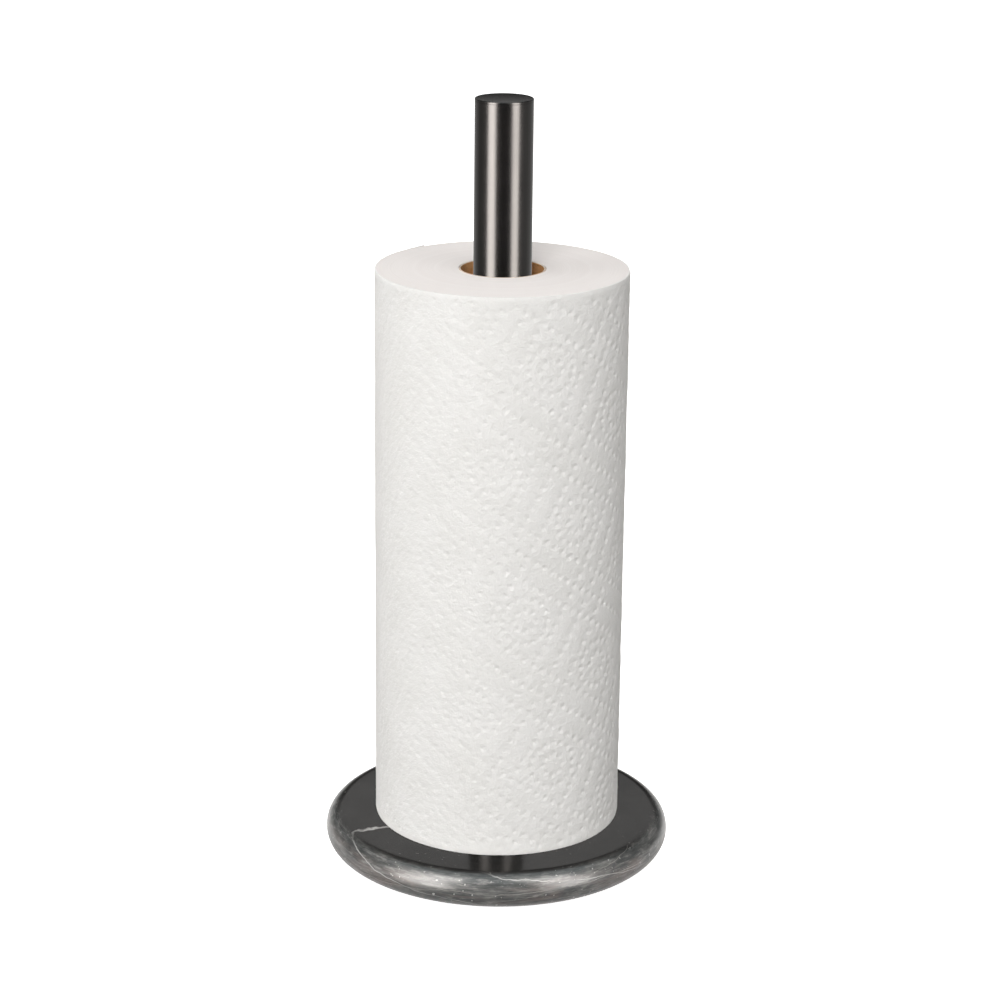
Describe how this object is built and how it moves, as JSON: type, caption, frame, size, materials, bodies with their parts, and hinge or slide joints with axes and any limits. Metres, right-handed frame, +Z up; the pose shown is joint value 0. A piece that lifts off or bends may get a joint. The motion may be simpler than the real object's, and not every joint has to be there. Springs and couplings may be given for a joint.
{
  "type": "paper towel holder",
  "caption": "Upright paper towel holder: a plain steel post bolted to a round marble base, with a roll of paper towels that turns on the post and lifts off over its top.",
  "frame": {"origin": "on the counter, under the middle of the base, where the post's axis meets the plane of the feet", "axes": "+Z up the post, -Y to the front, away from the roll's loose end"},
  "size_m": [0.173, 0.173, 0.382],
  "materials": {
    "dark_marble": "satin",
    "gunmetal_steel": "satin",
    "zinc_plated_steel": "satin",
    "black_rubber": "matte",
    "brown_cardboard": "matte",
    "white_paper": "matte"
  },
  "bodies": {
    "holder": {"marble_base": "dark_marble", "post_tube": "gunmetal_steel", "post_cap": "gunmetal_steel", "foot_plug": "zinc_plated_steel", "post_gasket": "black_rubber", "clamp_bolt": "zinc_plated_steel", "flat_washer": "zinc_plated_steel", "lock_washer": "zinc_plated_steel", "rubber_foot_1": "black_rubber", "rubber_foot_2": "black_rubber", "rubber_foot_3": "black_rubber", "rubber_foot_4": "black_rubber"},
    "roll_core": {"cardboard_core": "brown_cardboard"},
    "paper_roll": {"wound_paper": "white_paper", "outer_sheet": "white_paper"}
  },
  "joints": [
    {"name": "roll_lift", "type": "slide", "parent": "holder", "child": "roll_core", "axis": [0, 0, 1], "range_m": [0, 0.371]},
    {"name": "roll_spin", "type": "hinge", "parent": "roll_core", "child": "paper_roll", "pos_m": [0, 0, 0.1605], "axis": [0, 0, 1], "continuous": true}
  ]
}
